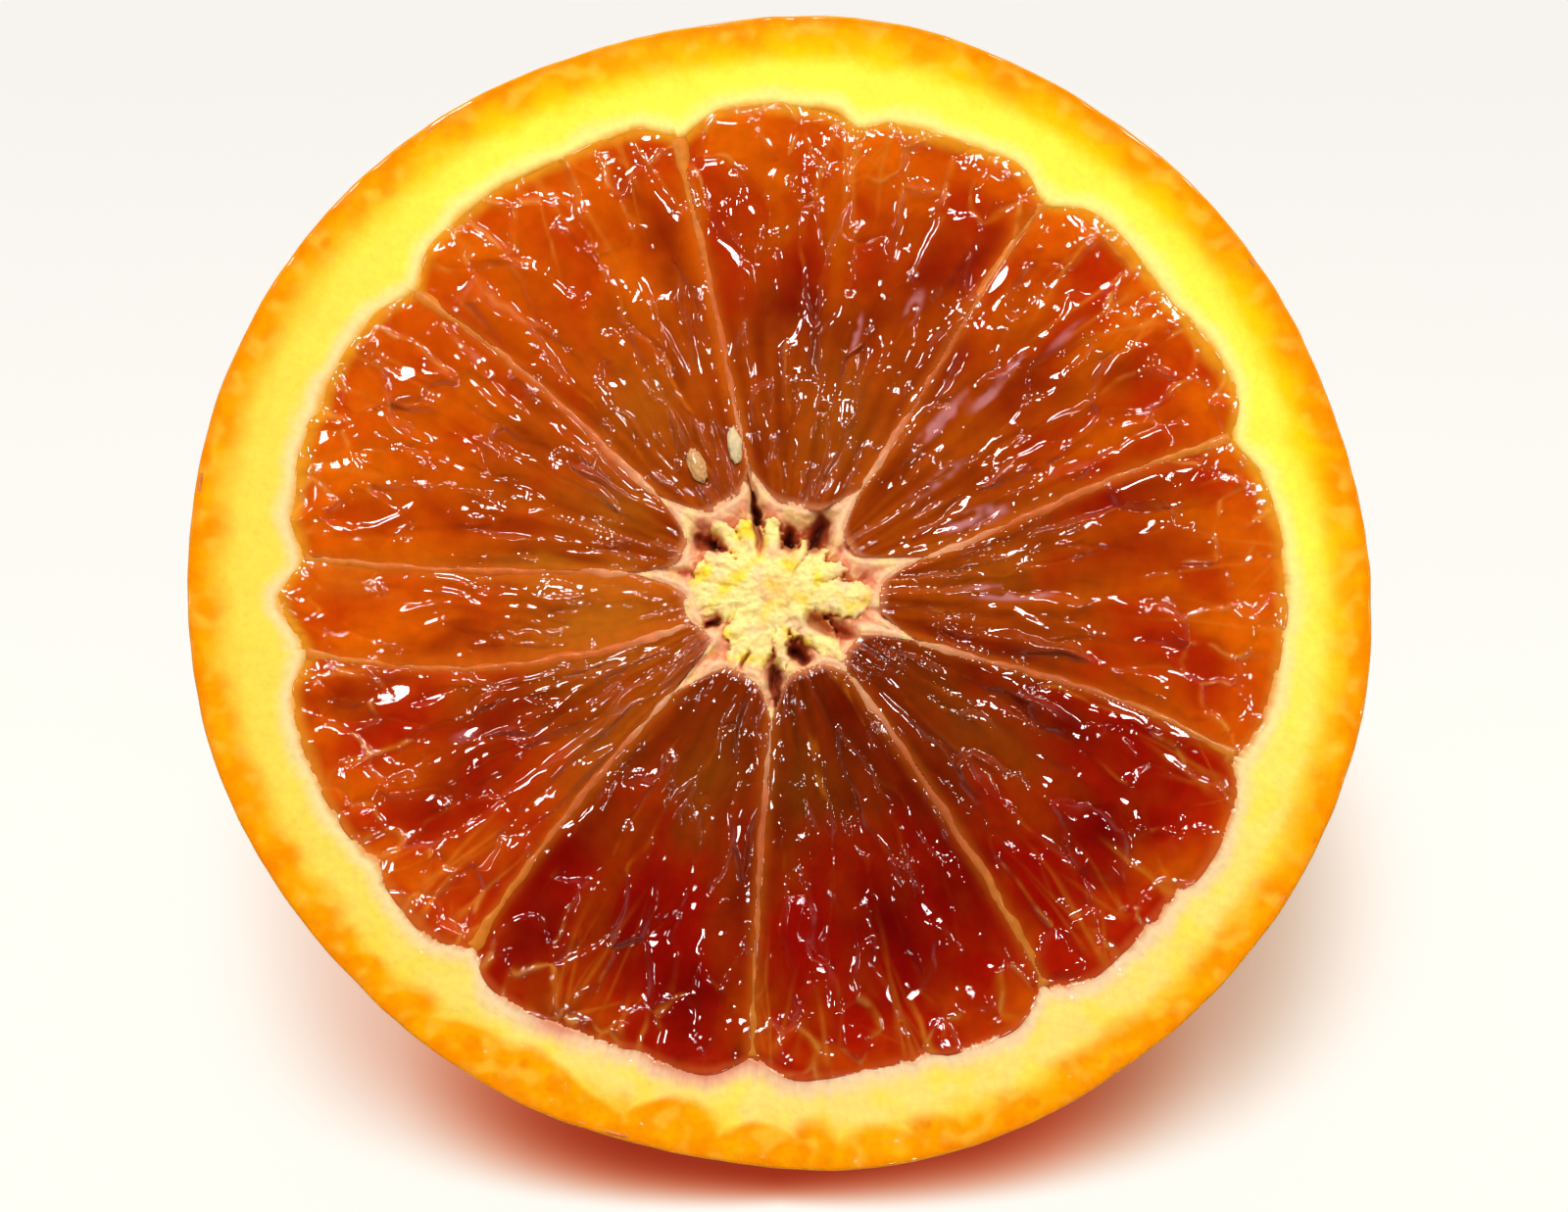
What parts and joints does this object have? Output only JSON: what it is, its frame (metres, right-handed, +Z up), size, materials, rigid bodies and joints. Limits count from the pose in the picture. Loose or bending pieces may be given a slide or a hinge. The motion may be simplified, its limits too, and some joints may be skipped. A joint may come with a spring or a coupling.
{
  "type": "blood orange half",
  "caption": "Half of a blood orange lying on its dome with the cut face up: peel, pith, juicy segments and a ragged open core in one solid.",
  "frame": {"origin": "middle of the small flat spot on the dome that the half rests on, under the middle of the cut face", "axes": "+Z up along the fruit's axis to the cut face, +X along the widest diameter of the cut face, +Y across it"},
  "size_m": [0.0718, 0.0702, 0.0351],
  "materials": {
    "orange_peel": "pebbled, slightly waxy orange skin, and the deep orange rim of its cut edge",
    "orange_pith": "soft moist pith, bright yellow near the skin and cream near the flesh",
    "orange_flesh": "wet, glossy, translucent orange vesicles mottled with dark red",
    "orange_seed": "moist beige undeveloped seeds"
  },
  "bodies": {
    "root": {"orange_half": "orange_peel"}
  },
  "joints": []
}
